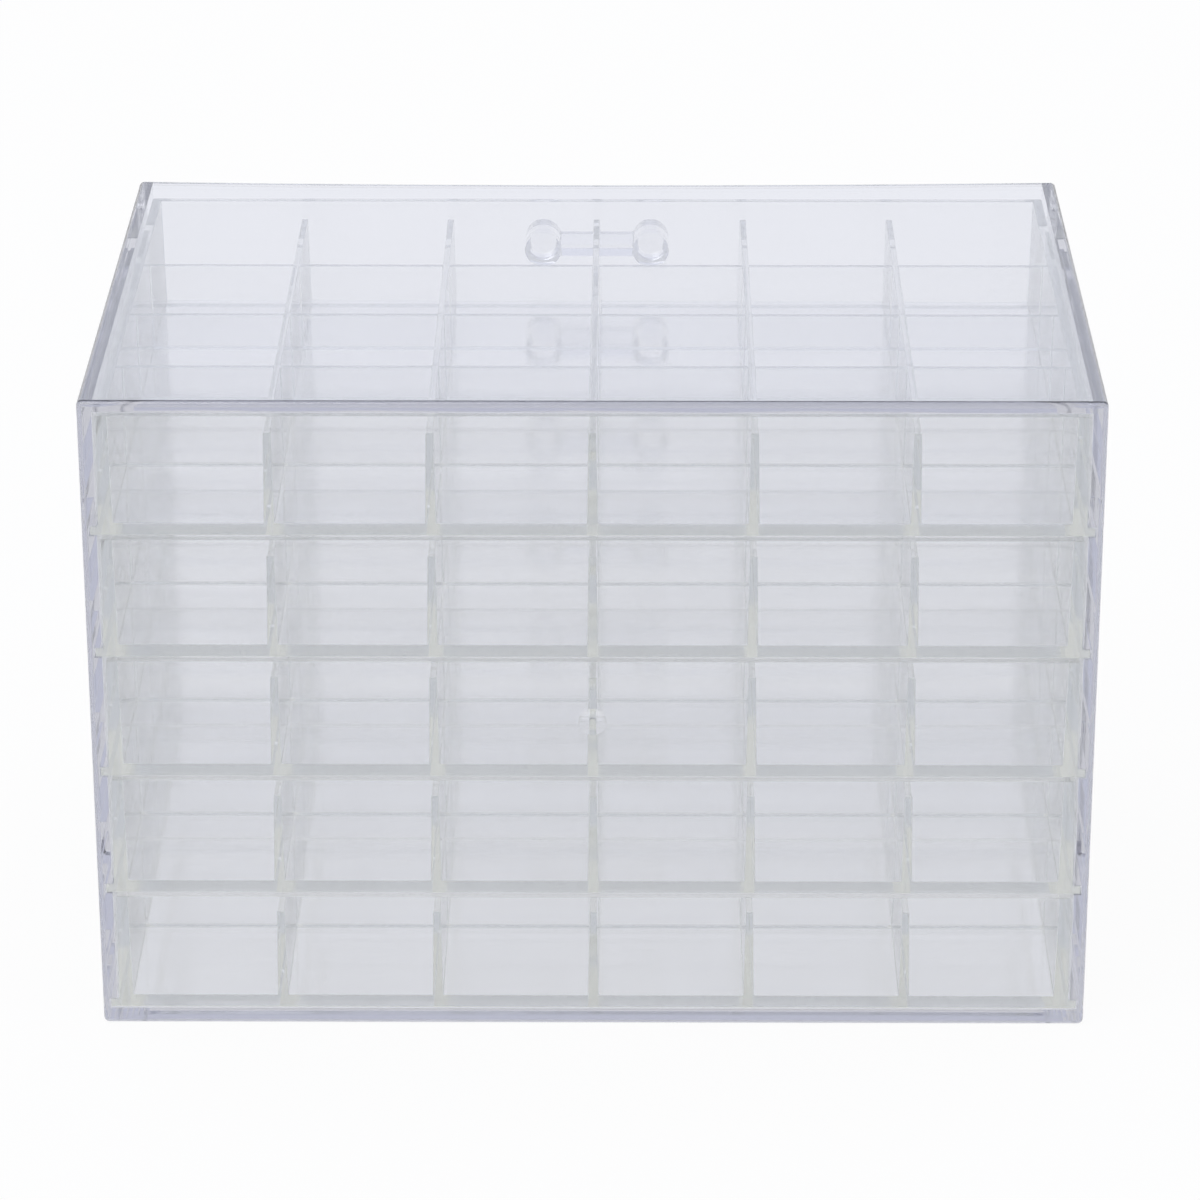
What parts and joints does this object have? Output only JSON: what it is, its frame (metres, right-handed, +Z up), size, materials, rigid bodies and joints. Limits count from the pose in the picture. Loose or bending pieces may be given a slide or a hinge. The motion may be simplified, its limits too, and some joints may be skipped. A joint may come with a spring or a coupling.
{
  "type": "nail art storage box",
  "caption": "Clear plastic storage box with a five-sided case and slide-out drawers on grooved runners, each divided into a grid of open cells and pulled by a small finger pull.",
  "frame": {"origin": "centre of the case's flat underside", "axes": "+Z up, +X along the width, the open front with the pulls towards -Y"},
  "size_m": [0.23, 0.1582, 0.1564],
  "materials": {
    "case_clear": "clear moulded polystyrene, polished, faint blue-violet tint",
    "drawer_clear": "clear moulded polystyrene, polished, faint grey-green tint",
    "handle_clear": "clear moulded polystyrene, polished"
  },
  "bodies": {
    "case": {"case": "case_clear"},
    "drawer_1": {"drawer_1": "drawer_clear", "handle_1": "handle_clear"},
    "drawer_2": {"drawer_2": "drawer_clear", "handle_2": "handle_clear"},
    "drawer_3": {"drawer_3": "drawer_clear", "handle_3": "handle_clear"},
    "drawer_4": {"drawer_4": "drawer_clear", "handle_4": "handle_clear"},
    "drawer_5": {"drawer_5": "drawer_clear", "handle_5": "handle_clear"}
  },
  "joints": [
    {"name": "drawer_1_slide", "type": "slide", "parent": "case", "child": "drawer_1", "axis": [0, -1, 0], "range_m": [0, 0.12]},
    {"name": "drawer_2_slide", "type": "slide", "parent": "case", "child": "drawer_2", "axis": [0, -1, 0], "range_m": [0, 0.12]},
    {"name": "drawer_3_slide", "type": "slide", "parent": "case", "child": "drawer_3", "axis": [0, -1, 0], "range_m": [0, 0.12]},
    {"name": "drawer_4_slide", "type": "slide", "parent": "case", "child": "drawer_4", "axis": [0, -1, 0], "range_m": [0, 0.12]},
    {"name": "drawer_5_slide", "type": "slide", "parent": "case", "child": "drawer_5", "axis": [0, -1, 0], "range_m": [0, 0.12]}
  ]
}
